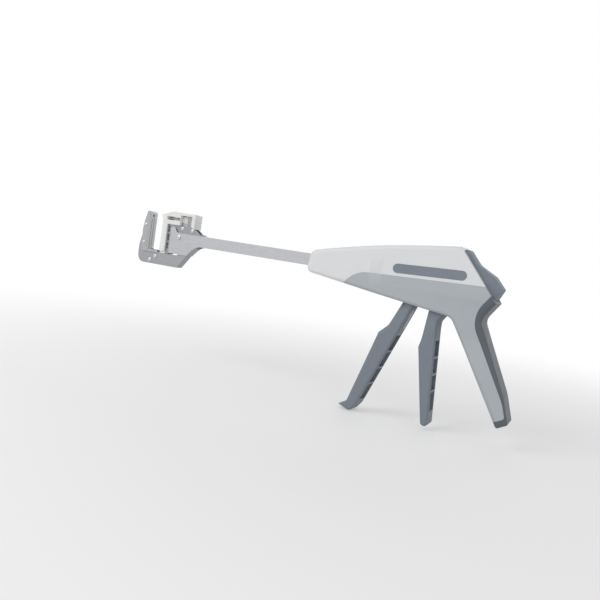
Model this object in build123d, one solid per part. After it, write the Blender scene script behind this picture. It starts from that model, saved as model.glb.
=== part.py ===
"""Linear surgical stapler with two triggers, as an assembly of separate pieces.

Side view: x runs along the shaft from the jaw (negative) to the grip (positive), z is up and y is across.
The sizes are laid out from the shaft axis at the nose of the handle. Each piece is then moved so that the
origin is in the middle of the grip. All lengths are in millimetres and all angles in degrees.
"""
from build123d import *
import math
import os

os.makedirs("parts", exist_ok=True)

# Clearances
running_gap = 0.05          # radial, pin in a turning hole
sliding_gap = 0.30          # between plates that slide on each other
button_gap = 0.40           # round the release button
pin_bore_gap = 0.15         # radial, retaining pin in its bores
beyond = 400.0              # past every face, for cuts that go right through

# Grip point that becomes the origin
grip_x, grip_z = 149.0, -50.0

# Shaft and the layers across it, from the middle outwards
shaft_height = 10.0
firing_half = 2.1           # half thickness of the firing bar
closure_t = 1.4             # closure plate
shaft_plate_t = 1.2         # shaft plate
lever_t = 2.0               # closing lever plate
bar_half_height = 2.9
closure_half_height = 4.2
shaft_end = 15.5            # rear end of the shaft plates inside the nose

closure_in = firing_half + sliding_gap
closure_out = closure_in + closure_t
plate_in = closure_out + sliding_gap
plate_out = plate_in + shaft_plate_t

# Jaw
anvil_face = -172.9
anvil_wall = 1.5            # cheek beside the jaw frame
leg_front = -174.6          # front of the frame leg, behind the anvil face
leg_top = 11.4
floor_z = -16.2
foot_top = -14.0
foot_end = -159.4
jaw_bottom = -27.2
anvil_out = plate_in + anvil_wall
anvil_rivets = [(-176.2, 8.4), (-176.2, -8.3)]
jaw_rivets = [(-161.8, -20.0), (-167.7, -24.0)]
tail_x, tail_z = -119.0, -7.6     # rear end of the jaw frame between the shaft plates
jaw_rivet_r = 1.9
anvil_rivet_r = 1.45
guide_x, guide_z = -136.5, 0.84
guide_head_r, guide_shank_r = 2.2, 1.5
head_front = -146.2         # front edge of the shaft plates
head_top, head_bottom = 10.1, -14.7

# Cartridge
deck_face = -157.0
deck_back = -154.1
body_back = -151.2
lip_reach = 1.4             # tissue stop lip ahead of the deck face
cartridge_half = 5.5
cartridge_foot = -15.9
staple_count = 10
staple_pitch = 2.85
staple_width = 2.3
staple_leg = 2.5
staple_wire = 0.25
staple_first_z = -12.4
row_y = 1.45
row_stagger = 0.35          # of a pitch, second row above the first
driver_t = 2.0
driver_end_gap = 0.2
last_staple_z = staple_first_z + (staple_count - 1 + row_stagger) * staple_pitch
driver_low = staple_first_z - staple_width / 2 - driver_end_gap
driver_high = last_staple_z + staple_width / 2 + driver_end_gap

# Retaining pin above the last staple, with what guides it
pin_r = 1.2
pin_above = 3.305           # pin axis above the last staple
pin_z = last_staple_z + pin_above
pin_tip = deck_back + 0.7
channel_half = 1.65         # half height of the window beside the pin
arm_length = 17.2           # of the arm behind the deck
arm_end = deck_back + arm_length
arm_bottom = pin_z - 5.55
cartridge_top = pin_z + 6.65
block_front, block_back = arm_end + 0.1, arm_end + 7.1
block_bottom, block_top, block_half = pin_z - 2.95, pin_z + 2.75, 2.2
riser_back, riser_top = arm_end + 12.7, pin_z + 3.75
guard_back, guard_top = arm_end + 16.1, pin_z + 6.15
anvil_tip_z = pin_z + 4.05

# Motion
closing_turn = 26.0
firing_turn = 16.0
button_turn = 5.0
closing_x, closing_z = 111.0, -14.5
closing_arm = 32.0          # closing pivot to drive pin
firing_x = 100.5
firing_below = 9.08         # firing pivot below the drive pin
pin_stroke = 8.2
closing_pin_r = 2.5
drive_pin_r = 1.75
firing_pin_r = 1.75
push_pin_r = 1.4

half_close = math.radians(closing_turn / 2)
closure_stroke = 2 * closing_arm * math.sin(half_close)
drive_x = closing_x + closing_arm * math.sin(half_close)
drive_z = closing_z + closing_arm * math.cos(half_close)
firing_z = drive_z - firing_below
mid_rise = (firing_x - closing_x) * math.sin(half_close) + (firing_z - closing_z) * math.cos(half_close)
push_tilt = math.radians(firing_turn / 2)
firing_arm = (closing_arm - mid_rise) / math.cos(push_tilt + half_close)
firing_stroke = 2 * firing_arm * math.sin(push_tilt)
driver_front = deck_back + firing_stroke + driver_end_gap
driver_back = driver_front + driver_t
push_x = firing_x + firing_arm * math.sin(push_tilt + 2 * half_close)
push_z = firing_z + firing_arm * math.cos(push_tilt + 2 * half_close)

# Raised tails of the bars in the handle
neck_low, neck_high = 77.0, 93.0     # where the bars climb to the drive pins
rail_below = 6.08                    # underside of the raised tails, below the drive pin
rail_low = drive_z - rail_below
lever_end_r = 2.1                    # round end of the firing lever at the push pin
lever_roof_gap = 0.25                # between that end and the roof of the handle
tail_half = 0.75                     # half thickness of the firing bar tail
fork_half = 0.95                     # half opening of the firing lever fork
notch_floor = rail_low + 1.8
notch_ahead, notch_behind = 0.55, 0.8   # play of the push pin in its notch
holder_rivets = [(-134.7, 9.3), (-123.3, 8.4)]

# Handle
wall = 2.4
handle_half = 15.0
nose_half = 9.6
grip_half = 12.6
edge_round = 3.0
nose_solid = 16.0           # solid nose that grips the shaft plates
trigger_half = 8.5
neck_bevel_width, neck_bevel_depth = 3.1, 2.4    # front of the firing trigger's neck
slot_half = 9.2
slot_front, slot_rear, slot_top = 83.4, 128.0, -15.0
roof_above = 10.12          # rear end of the roof above the drive pin
rear_top_x, rear_top_z = 123.6, drive_z + roof_above
rear_low_x, rear_low_z = 154.9, -10.7
roof_fall = 7.0             # from the rear end of the roof to its bend
inlay_left, inlay_right = 75.2, 131.5
inlay_z, inlay_height, inlay_tilt = 4.75, 7.1, 2.2
inlay_depth = 0.8
button_half = 9.0
button_start, button_end = 3.0, 46.0    # along the rear slope from its top
button_plug = 2.5                       # depth of the button inside the shell
button_pivot_s, button_pivot_d = 7.4, 2.3
button_pin_r = 1.25
button_round = 0.8
latch_x, latch_z = 131.0, -2.0
latch_in, latch_t = 6.6, 1.6
latch_pin_r = 1.5
screw_places = [(40.0, 10.6), (62.0, -11.2), (131.0, -14.5), (142.0, -46.0), (159.0, -77.0)]
screw_boss_r, screw_head_r, screw_r = 2.6, 2.1, 1.1
screw_tip, screw_seat = 9.5, 9.0
nose_pin_places = [(8.0, 2.8), (8.0, -2.8)]
nose_pin_r, nose_pin_out = 1.0, 7.6
pin_reach = 12.9            # half length of the pins held in the shells

# Springs
spring_collar_x, spring_collar_t, spring_collar_r = 50.0, 3.0, 7.4
spring_r, spring_wire, spring_turns = 6.7, 1.1, 8


def side(u, v):
    """Point of the side view."""
    return Vector(u, 0, v)


def plan(u, v):
    """Point of the view from above."""
    return Vector(u, v, 0)


def front(u, v):
    """Point of the view along the shaft."""
    return Vector(0, u, v)


def outline(corners, view=side):
    """Closed face through corners (u, v) or (u, v, radius); a radius rounds that corner."""
    starts, ends, arcs = [], [], []
    count = len(corners)
    for i, corner in enumerate(corners):
        here = view(corner[0], corner[1])
        to_last = (view(*corners[i - 1][:2]) - here).normalized()
        to_next = (view(*corners[(i + 1) % count][:2]) - here).normalized()
        if len(corner) < 3:
            starts.append(here)
            ends.append(here)
            arcs.append(None)
            continue
        half = math.radians(to_last.get_angle(to_next)) / 2
        reach = corner[2] / math.tan(half)
        inward = (to_last + to_next).normalized()
        middle = here + inward * (corner[2] / math.sin(half) - corner[2])
        starts.append(here + to_last * reach)
        ends.append(here + to_next * reach)
        arcs.append(middle)
    edges = []
    for i in range(count):
        if arcs[i] is not None:
            edges.append(ThreePointArc(starts[i], arcs[i], ends[i]))
        following = starts[(i + 1) % count]
        if (following - ends[i]).length > 1e-6:
            edges.append(Line(ends[i], following))
    return Face(Wire(edges))


def slab(corners, y_from, y_to):
    """Side outline given thickness across the part."""
    return extrude(Pos(0, y_from, 0) * outline(corners), amount=y_to - y_from, dir=(0, 1, 0))


def strap(first, first_r, second, second_r, y_from, y_to):
    """Flat link with two round ends."""
    reach = math.dist(first, second)
    heading = math.atan2(second[1] - first[1], second[0] - first[0])
    spread = math.acos((first_r - second_r) / reach)

    def rim(centre, radius, angle):
        return Vector(centre[0] + radius * math.cos(angle), y_from, centre[1] + radius * math.sin(angle))

    high, low = heading + spread, heading - spread
    edges = [
        Line(rim(first, first_r, high), rim(second, second_r, high)),
        ThreePointArc(
            rim(second, second_r, high), rim(second, second_r, heading), rim(second, second_r, low)
        ),
        Line(rim(second, second_r, low), rim(first, first_r, low)),
        ThreePointArc(
            rim(first, first_r, low), rim(first, first_r, heading + math.pi), rim(first, first_r, high)
        ),
    ]
    return extrude(Face(Wire(edges)), amount=y_to - y_from, dir=(0, 1, 0))


def block(x_from, x_to, y_from, y_to, z_from, z_to):
    """Box between two corners."""
    middle = Pos((x_from + x_to) / 2, (y_from + y_to) / 2, (z_from + z_to) / 2)
    return middle * Box(x_to - x_from, y_to - y_from, z_to - z_from)


def rod(x, z, radius, y_from, y_to):
    """Cylinder across the part."""
    return Pos(x, (y_from + y_to) / 2, z) * Cylinder(radius, y_to - y_from, rotation=(90, 0, 0))


def rod_x(x_from, x_to, y, z, radius):
    """Cylinder along the shaft."""
    return Pos((x_from + x_to) / 2, y, z) * Cylinder(radius, x_to - x_from, rotation=(0, 90, 0))


def slope(along, inward):
    """Point at a distance along the rear slope of the handle and inward from it."""
    reach = math.dist((rear_top_x, rear_top_z), (rear_low_x, rear_low_z))
    cos, sin = (rear_low_x - rear_top_x) / reach, (rear_low_z - rear_top_z) / reach
    return (rear_top_x + along * cos + inward * sin, rear_top_z + along * sin - inward * cos)


def mirrored(shape):
    """The same piece on the other side of the middle plane."""
    return mirror(shape, about=Plane.XZ)


def emit(name, shape):
    """Move the piece to the shared origin and write it."""
    export_step(Pos(-grip_x, 0, -grip_z) * shape, f"parts/{name}.step")


def group(*shapes):
    """Several equal solids in one node."""
    solids = [solid for shape in shapes for solid in shape.solids()]
    return Compound(children=solids)


# Handle

nose_x, nose_z = 1.3, 7.9
roof_x, roof_z = 55.6, rear_top_z - roof_fall
nose_rise = math.atan2(roof_z - nose_z, roof_x - nose_x)
rear_rise = math.atan2(rear_top_z - roof_z, rear_top_x - roof_x)
roof_run = min(
    math.dist((nose_x, nose_z), (roof_x, roof_z)), math.dist((roof_x, roof_z), (rear_top_x, rear_top_z))
)
roof_r = 0.815 * roof_run / math.tan((nose_rise - rear_rise) / 2)
handle_corners = [
    (-0.9, -9.8, 5.0),
    (nose_x, nose_z, 6.0),
    (roof_x, roof_z, roof_r),
    (rear_top_x, rear_top_z),
    (rear_low_x, rear_low_z),
    (145.9, -24.4, 8.0),
    (170.8, -75.5, 60.0),
    (177.0, -94.8, 1.6),
    (169.2, -99.4, 1.6),
    (124.3, -25.9, 8.0),
]
lower_corners = [(35.0, -15.6), (41.9, -3.5, 24.0), (170.0, 1.0), (230.0, -130.0), (20.0, -130.0)]
strap_corners = [
    slope(42.3, -2.0),
    slope(42.3, 0.0),
    (138.7, -23.2, 21.0),
    (170.6, -80.0, 40.0),
    (174.2, -90.6, 2.0),
    (160.0, -98.3),
    (190.0, -130.0),
    (230.0, -20.0),
]


def handle_form(inset):
    """Whole outside of the handle, drawn in by a distance on every side."""
    face = outline(handle_corners)
    if inset:
        face = offset(face, amount=-inset, kind=Kind.INTERSECTION)
    solid = extrude(Pos(0, -handle_half, 0) * face, amount=2 * handle_half, dir=(0, 1, 0))
    wide, nose, grip = handle_half - inset, nose_half - inset, grip_half - inset
    from_above = outline(
        [(-20, -nose), (4, -nose, 60), (62, -wide, 120), (260, -wide),
         (260, wide), (62, wide, 120), (4, nose, 60), (-20, nose)],
        plan,
    )
    along = outline(
        [(-wide, 60), (-wide, -12, 60), (-grip, -42, 60), (-grip, -160), (grip, -160), (grip, -42, 60),
         (wide, -12, 60), (wide, 60)],
        front,
    )
    solid &= extrude(Pos(0, 0, -160) * from_above, amount=260, dir=(0, 0, 1))
    solid &= extrude(Pos(-20, 0, 0) * along, amount=280, dir=(1, 0, 0))
    return solid


def rounded_handle():
    """Handle with its long edges rounded; the rear slope stays flat for the button."""
    solid = handle_form(0)
    rim = outline(handle_corners).outer_wire()
    edges = []
    for edge in solid.edges():
        middle = edge @ 0.5
        if abs((edge % 0.5).Y) > 0.9 or abs(middle.Y) < 1:
            continue
        if middle.X > rear_top_x and middle.Z > rear_low_z:
            continue
        if rim.distance_to(Vertex(middle.X, 0, middle.Z)) < 1e-3:
            edges.append(edge)
    return fillet(edges, edge_round)


def button_window(y_half, grow):
    """Opening in the rear slope for the release button."""
    corners = [
        slope(button_start - grow, -3.0),
        slope(button_end + grow, -3.0),
        slope(button_end + grow, 2.0),
        slope(button_end - 4.0, 9.0),
        slope(button_start - grow, 9.0),
    ]
    return slab(corners, -y_half, y_half)


def inlay_form(depth_from, depth_to):
    """Long round-ended plate on the side of the upper shell."""
    radius = inlay_height / 2
    tilt = math.tan(math.radians(inlay_tilt))
    half_run = (inlay_right - inlay_left) / 2 - radius
    middle = (inlay_left + inlay_right) / 2
    first = (middle - half_run, inlay_z - half_run * tilt)
    second = (middle + half_run, inlay_z + half_run * tilt)
    return strap(first, radius, second, radius, depth_from, depth_to)


def handle_shell():
    """Hollow handle with its nose, windows, slots and bosses, before it is parted."""
    outer = rounded_handle()
    cavity = handle_form(wall) & block(nose_solid, beyond, -beyond, beyond, -beyond, beyond)
    shell = outer - cavity
    for x, z in screw_places:
        shell += rod(x, z, screw_boss_r, -handle_half, handle_half) & outer
    boss_from = trigger_half + 0.4
    for y_from, y_to in ((-handle_half, -boss_from), (boss_from, handle_half)):
        shell += rod(closing_x, closing_z, closing_pin_r + 2.0, y_from, y_to) & outer
    pivot = slope(button_pivot_s, button_pivot_d)
    boss_from = button_half + button_gap
    for y_from, y_to in ((-handle_half, -boss_from), (boss_from, handle_half)):
        shell += rod(*pivot, button_pin_r + 1.6, y_from, y_to) & outer
    shell += rod(latch_x, latch_z, latch_pin_r + 1.8, latch_in + latch_t + sliding_gap, handle_half) & outer
    seat = slab(
        [slope(26, 9.5), slope(36, 9.5), slope(36, 11.5), slope(26, 11.5)], -handle_half, 0
    )
    shell += seat & outer
    shell -= block(-5, nose_solid + 1, -plate_out, plate_out, -shaft_height / 2, shaft_height / 2)
    shell -= button_window(button_half + button_gap, 0.3)
    shell -= block(slot_front, slot_rear, -slot_half, slot_half, -40, slot_top)
    sweep_half = firing_half + sliding_gap
    shell -= rod(firing_x, firing_z, firing_arm + lever_end_r + lever_roof_gap, -sweep_half, sweep_half)
    shell -= rod(closing_x, closing_z, closing_pin_r, -pin_reach, pin_reach)
    shell -= rod(*pivot, button_pin_r, -pin_reach, pin_reach)
    shell -= rod(latch_x, latch_z, latch_pin_r, latch_in - 1, pin_reach)
    for y_sign in (-1, 1):
        y_pair = sorted((y_sign * (handle_half - inlay_depth), y_sign * (handle_half + 1)))
        shell -= inlay_form(*y_pair)
    for x, z in screw_places:
        shell -= rod(x, z, screw_r, -screw_tip, handle_half)
        shell -= rod(x, z, screw_head_r, screw_seat, handle_half + 1)
    for x, z in nose_pin_places:
        for y_from, y_to in ((-nose_pin_out, -plate_in), (plate_in, nose_pin_out)):
            shell -= rod(x, z, nose_pin_r, y_from, y_to)
    return shell


def write_handle():
    """Part the handle into its moulded pieces and write them with their inlays, screws and pins."""
    shell = handle_shell()
    lower = slab(lower_corners, -beyond, beyond)
    back = slab(strap_corners, -beyond, beyond)
    left = block(-beyond, beyond, -beyond, 0, -beyond, beyond)
    right = block(-beyond, beyond, 0, beyond, -beyond, beyond)
    upper_shell = shell - lower - back
    grip_shell = (shell & lower) - back
    emit("left_upper_shell", main_solid(upper_shell & left))
    emit("right_upper_shell", main_solid(upper_shell & right))
    emit("left_grip_shell", main_solid(grip_shell & left))
    emit("right_grip_shell", main_solid(grip_shell & right))
    emit("grip_backstrap", main_solid(shell & back))
    inlay = inlay_form(-handle_half, -(handle_half - inlay_depth))
    emit("left_side_inlay", inlay)
    emit("right_side_inlay", mirrored(inlay))
    screws = []
    for x, z in screw_places:
        screw = rod(x, z, screw_r, -screw_tip, screw_seat)
        screw += rod(x, z, screw_head_r, screw_seat, screw_seat + 1.6)
        for half_x, half_z in ((0.35, 1.4), (1.4, 0.35)):
            screw -= block(x - half_x, x + half_x, screw_seat + 0.8, screw_seat + 2, z - half_z, z + half_z)
        screws.append(screw)
    emit("housing_screws", group(*screws))
    dowels = []
    for x, z in nose_pin_places:
        dowels.append(rod(x, z, nose_pin_r, -nose_pin_out, -plate_in))
        dowels.append(rod(x, z, nose_pin_r, plate_in, nose_pin_out))
    emit("nose_dowels", group(*dowels))
    emit("closing_pivot_pin", rod(closing_x, closing_z, closing_pin_r, -pin_reach, pin_reach))
    pivot = slope(button_pivot_s, button_pivot_d)
    emit("button_pivot_pin", rod(*pivot, button_pin_r, -pin_reach, pin_reach))
    emit("latch_pivot_pin", rod(latch_x, latch_z, latch_pin_r, latch_in - 1, pin_reach))


def main_solid(shape):
    """Largest solid of a cut shape."""
    return max(shape.solids(), key=lambda solid: solid.volume)


# Shaft and jaw

def shaft_plate():
    """Right-hand shaft plate with the cheek that carries the jaw."""
    half = shaft_height / 2
    corners = [
        (shaft_end, -half),
        (shaft_end, half),
        (-139.2, half, 3.0),
        (-142.0, head_top, 3.0),
        (head_front, head_top, 0.6),
        (head_front, head_bottom, 1.0),
        (-126.0, head_bottom),
        (-116.5, -half, 14.0),
    ]
    plate = slab(corners, plate_in, plate_out)
    plate -= rod(guide_x, guide_z, guide_shank_r, plate_in, plate_out)
    for x, z in nose_pin_places:
        plate -= rod(x, z, nose_pin_r, plate_in, plate_out)
    return plate


def jaw_frame():
    """The C: a thick plate from the leg behind the anvil, along the floor, up between the shaft plates."""
    corners = [
        (leg_front, leg_top),
        (-177.4, leg_top, 0.8),
        (-182.9, -13.0, 40.0),
        (-181.5, jaw_bottom, 7.0),
        (-135.6, jaw_bottom, 1.5),
        (-126.0, head_bottom),
        (tail_x, tail_z),
        (tail_x, -shaft_height / 2),
        (-125.2, -shaft_height / 2, 4.0),
        (-137.3, floor_z, 3.0),
        (leg_front, floor_z),
    ]
    frame = slab(corners, -plate_in, plate_in)
    for x, z in anvil_rivets:
        frame -= rod(x, z, anvil_rivet_r - 0.5, -plate_in, plate_in)
    for x, z in jaw_rivets:
        frame -= rod(x, z, jaw_rivet_r - 0.6, -plate_in, plate_in)
    return frame


def staple_spots():
    """Middle of each staple as (row side, z); the second row stands a little higher."""
    for i in range(staple_count):
        yield -1, staple_first_z + i * staple_pitch
        yield 1, staple_first_z + (i + row_stagger) * staple_pitch


def anvil():
    """Anvil that wraps the frame leg, with two foot rails and a forming pocket for each staple."""
    corners = [
        (-178.3, floor_z, 1.5),
        (-179.3, 4.0, 30.0),
        (-178.1, 12.0, 12.0),
        (-175.7, anvil_tip_z, 1.3),
        (anvil_face - 0.2, anvil_tip_z, 1.3),
        (anvil_face, pin_z - 1.55, 10.0),
        (anvil_face, foot_top, 2.0),
        (foot_end - 2.2, foot_top, 1.0),
        (foot_end, floor_z),
    ]
    solid = slab(corners, -anvil_out, anvil_out)
    leg_room = [(-190, floor_z - 5), (-190, leg_top), (leg_front, leg_top), (leg_front, floor_z - 5)]
    solid -= slab(leg_room, -plate_in, plate_in)
    solid -= block(leg_front, foot_end + 5, -plate_in, plate_in, floor_z - 5, foot_top - 0.6)
    solid -= block(anvil_face, foot_end + 5, -plate_in, plate_in, floor_z - 5, foot_top + 1)
    for x, z in anvil_rivets:
        solid -= rod(x, z, anvil_rivet_r - 0.5, -anvil_out, anvil_out)
    solid -= rod_x(-185, -165, 0, pin_z, pin_r + pin_bore_gap)
    for row, z in staple_spots():
        y = row * row_y
        solid -= block(anvil_face - 0.4, anvil_face + 1, y - 0.45, y + 0.45, z - 1.3, z + 1.3)
    return solid


def write_jaw():
    """Shaft plates, jaw frame, anvil and their rivets."""
    plate = shaft_plate()
    emit("right_shaft_plate", plate)
    emit("left_shaft_plate", mirrored(plate))
    emit("jaw_frame", jaw_frame())
    emit("anvil", anvil())
    rivets = []
    for x, z in anvil_rivets:
        rivet = rod(x, z, anvil_rivet_r - 0.5, -anvil_out, anvil_out)
        rivet += rod(x, z, anvil_rivet_r, anvil_out, anvil_out + 0.3)
        rivets.append(rivet + rod(x, z, anvil_rivet_r, -anvil_out - 0.3, -anvil_out))
    emit("anvil_rivets", group(*rivets))
    rivets = []
    for x, z in jaw_rivets:
        rivet = rod(x, z, jaw_rivet_r - 0.6, -plate_in, plate_in)
        rivet += rod(x, z, jaw_rivet_r, plate_in, plate_in + 0.3)
        rivets.append(rivet + rod(x, z, jaw_rivet_r, -plate_in - 0.3, -plate_in))
    emit("jaw_rivets", group(*rivets))
    pin = rod(guide_x, guide_z, guide_shank_r, -plate_out, plate_out)
    pin += rod(guide_x, guide_z, guide_head_r, plate_out, plate_out + 0.6)
    pin += rod(guide_x, guide_z, guide_head_r, -plate_out - 0.6, -plate_out)
    emit("guide_pin", pin)


# Closure slide

def closure_plate():
    """Right-hand closure plate: cartridge holder in front, long strip in the shaft, raised tail behind."""
    half = closure_half_height
    corners = [
        (body_back, cartridge_foot, 0.6),
        (body_back, arm_bottom),
        (block_back, arm_bottom),
        (block_back, riser_top),
        (riser_back, riser_top),
        (riser_back, arm_bottom + 0.3),
        (-112.0, half),
        (neck_low - 3.0, half, 8.0),
        (neck_high, rail_low + 6.6, 10.0),
        (drive_x - 10.0, rail_low + 9.6, 20.0),
        (drive_x + 4.0, rail_low + 10.2, 2.5),
        (drive_x + 4.0, rail_low + 2.0, 2.5),
        (drive_x - 6.0, rail_low, 8.0),
        (neck_high, rail_low, 8.0),
        (neck_low, -half, 8.0),
        (-126.0, -half, 4.0),
        (-136.0, -13.6, 3.0),
        (-145.8, -13.6, 1.0),
        (-147.4, cartridge_foot, 1.0),
    ]
    plate = slab(corners, closure_in, closure_out)
    for low, high in ((4.8, 10.1), (-3.15, 2.6), (-10.9, -5.4)):
        window = [(-150.3, low, 0.8), (-150.3, high, 0.8), (-148.0, high, 0.8), (-148.0, low, 0.8)]
        plate -= slab(window, closure_in, closure_out)
    guide = (guide_x, guide_z)
    track = guide_shank_r + sliding_gap
    plate -= strap(guide, track, (guide_x + closure_stroke, guide_z), track, closure_in, closure_out)
    drop = closing_arm * (1 - math.cos(half_close))
    grip_r = drive_pin_r + 0.1
    low, high = (drive_x, drive_z - 0.4), (drive_x, drive_z + drop + 0.4)
    plate -= strap(low, grip_r, high, grip_r, closure_in, closure_out)
    for x, z in holder_rivets:
        plate -= rod(x, z, 1.2, closure_in, closure_out)
    return plate


def spring_collar():
    """Collar on the closure plates that the closing spring pushes."""
    collar = rod_x(spring_collar_x, spring_collar_x + spring_collar_t, 0, 0, spring_collar_r)
    opening = block(
        spring_collar_x - 1, spring_collar_x + spring_collar_t + 1, -closure_out, closure_out,
        -closure_half_height, closure_half_height,
    )
    return collar - opening


def coil(radius, wire, turns, length):
    """Coil along +x from the origin, with flat facets."""
    steps = 10
    points = []
    for i in range(round(turns * steps) + 1):
        angle = 2 * math.pi * i / steps
        x = wire / 2 + (length - wire) * i / (turns * steps)
        points.append(Vector(x, radius * math.cos(angle), radius * math.sin(angle)))
    path = Wire(Polyline(*points).edges())
    start = Plane(origin=points[0], z_dir=points[1] - points[0])
    return sweep(start * RegularPolygon(wire / 2, 6), path=path, transition=Transition.RIGHT)


def write_closure():
    """Closure plates, rivets, collar and closing spring."""
    plate = closure_plate()
    emit("right_closure_plate", plate)
    emit("left_closure_plate", mirrored(plate))
    rivets = []
    for x, z in holder_rivets:
        rivet = rod(x, z, 1.2, -closure_out, closure_out)
        rivet += rod(x, z, 1.7, -closure_in, closure_in)
        rivet += rod(x, z, 1.7, closure_out, closure_out + 0.2)
        rivets.append(rivet + rod(x, z, 1.7, -closure_out - 0.2, -closure_out))
    emit("holder_rivets", group(*rivets))
    emit("spring_collar", spring_collar())
    spring = coil(spring_r, spring_wire, spring_turns, spring_collar_x - nose_solid)
    emit("closing_spring", Pos(nose_solid, 0, 0) * spring)


# Cartridge

def cartridge_deck():
    """Staple deck with its tissue stop lip, a slot for each staple and the pin bore."""
    corners = [
        (deck_back, cartridge_foot, 0.5),
        (deck_face, cartridge_foot, 1.0),
        (deck_face, pin_z - 0.35, 0.8),
        (deck_face - lip_reach, pin_z + 0.65, 0.6),
        (deck_face - lip_reach, pin_z + 2.75, 1.0),
        (deck_back, pin_z + 3.85),
    ]
    deck = slab(corners, -cartridge_half, cartridge_half)
    deck -= foot_relief()
    for row, z in staple_spots():
        y = row * row_y
        half = staple_width / 2 + 0.15
        deck -= block(deck_face - 1, deck_back + 1, y - 0.3, y + 0.3, z - half, z + half)
    return deck - rod_x(-165, -150, 0, pin_z, pin_r + pin_bore_gap)


def foot_relief():
    """What is cut away beside the lower end so that it runs between the foot rails."""
    inner = plate_in - sliding_gap
    cut = block(-165, -140, inner, 10, -20, foot_top + sliding_gap)
    return cut + mirrored(cut)


def cartridge_body():
    """Cartridge behind the deck, with the arm that guides the retaining pin."""
    corners = [
        (body_back, cartridge_foot, 0.5),
        (deck_back, cartridge_foot),
        (deck_back, pin_z + 3.85),
        (arm_end - 8.2, cartridge_top, 3.0),
        (arm_end, cartridge_top - 0.4),
        (arm_end, arm_bottom),
        (body_back, arm_bottom),
    ]
    body = slab(corners, -cartridge_half, cartridge_half)
    body -= foot_relief()
    track = firing_half + 0.2
    body -= block(deck_back - 1, driver_back + 0.3, -track, track, driver_low - 0.2, driver_high + 0.2)
    slide_end = arm_end - pin_stroke - 0.5
    room_half = block_half + 0.2
    body -= block(slide_end, arm_end + 1, -room_half, room_half, arm_bottom - 1, block_top + 0.2)
    body -= rod_x(deck_back - 6, arm_end, 0, pin_z, pin_r + pin_bore_gap)
    window = [
        (-152.4, pin_z - channel_half, 1.2),
        (-152.4, pin_z + channel_half, 1.2),
        (arm_end - 0.4, pin_z + channel_half, 0.4),
        (arm_end - 0.4, pin_z - channel_half, 0.4),
    ]
    return body - slab(window, -10, 10)


def pin_guard():
    """Cap over the riser and the pin block."""
    corners = [
        (arm_end, riser_top),
        (arm_end, guard_top, 0.8),
        (guard_back, guard_top, 1.5),
        (guard_back, arm_bottom - 1.8),
        (riser_back, arm_bottom + 0.4),
        (riser_back, riser_top),
    ]
    return slab(corners, -cartridge_half, cartridge_half)


def pin_block():
    """Slide block on the back end of the retaining pin."""
    slide = slab(
        [
            (block_front, block_bottom),
            (block_front, block_top, 0.8),
            (block_back - 0.2, block_top, 0.8),
            (block_back - 0.2, block_bottom),
        ],
        -block_half,
        block_half,
    )
    slide += block(block_front, block_back - 0.4, -1.4, 1.4, arm_bottom, block_bottom)
    return slide - rod_x(block_front, block_front + 5, 0, pin_z, pin_r)


def retaining_pin():
    """Round pin with a pointed end."""
    pin = rod_x(pin_tip + 2.0, block_front + 5, 0, pin_z, pin_r)
    tip = Pos(pin_tip + 1.0, 0, pin_z) * Cone(0.3, pin_r, 2.0, rotation=(0, 90, 0))
    return pin + tip


def staple(row, z):
    """Open staple with its crown towards the driver."""
    y = row * row_y
    crown = deck_back - 0.1
    tip = crown - staple_leg
    half = staple_width / 2
    legs = block(tip, crown, y - staple_wire / 2, y + staple_wire / 2, z - half, z + half)
    inner = half - staple_wire
    return legs - block(tip - 1, crown - staple_wire, y - 1, y + 1, z - inner, z + inner)


def staple_driver():
    """Driver with a finger behind each staple."""
    driver = block(driver_front, driver_back, -firing_half, firing_half, driver_low, driver_high)
    for row, z in staple_spots():
        y = row * row_y
        half = staple_width / 2
        driver += block(deck_back - 0.1, driver_front + 0.1, y - 0.25, y + 0.25, z - half, z + half)
    return driver


def write_cartridge():
    """Reload cartridge and what it holds."""
    emit("cartridge_deck", cartridge_deck())
    emit("cartridge_body", cartridge_body())
    emit("pin_guard", pin_guard())
    emit("pin_block", pin_block())
    emit("retaining_pin", retaining_pin())
    emit("staple_driver", staple_driver())
    emit("staples", group(*[staple(row, z) for row, z in staple_spots()]))


# Firing slide

def firing_bar():
    """Firing bar: tall head behind the driver, bar in the shaft, raised tail with the push pin's notch."""
    half = bar_half_height
    head = [
        (driver_back, -13.0),
        (driver_back, arm_bottom - 1.0),
        (-144.6, arm_bottom - 1.0),
        (-139.0, 6.6, 3.0),
        (-112.0, 6.6, 3.0),
        (-106.0, half),
        (neck_low - 9.0, half),
        (neck_low - 9.0, -half),
        (-108.0, -half),
        (-139.0, -half, 3.0),
        (-144.6, -13.0),
    ]
    bar = slab(head, -firing_half, firing_half)
    tail = [
        (neck_low - 12.0, -half),
        (neck_low - 12.0, half),
        (neck_low - 3.0, half, 8.0),
        (neck_high, rail_low + 6.0, 10.0),
        (push_x + 3.6, push_z + 0.6, 1.0),
        (push_x + 3.6, rail_low, 1.0),
        (neck_high, rail_low, 8.0),
        (neck_low, -half, 8.0),
    ]
    bar += slab(tail, -tail_half, tail_half)
    ahead, behind = push_x - push_pin_r - notch_ahead, push_x + push_pin_r + notch_behind
    bar -= block(ahead, behind, -firing_half, firing_half, notch_floor, push_z + 5)
    track = guide_shank_r + sliding_gap
    far = (guide_x + closure_stroke + firing_stroke, guide_z)
    return bar - strap((guide_x, guide_z), track, far, track, -firing_half, firing_half)


# Levers

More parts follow.
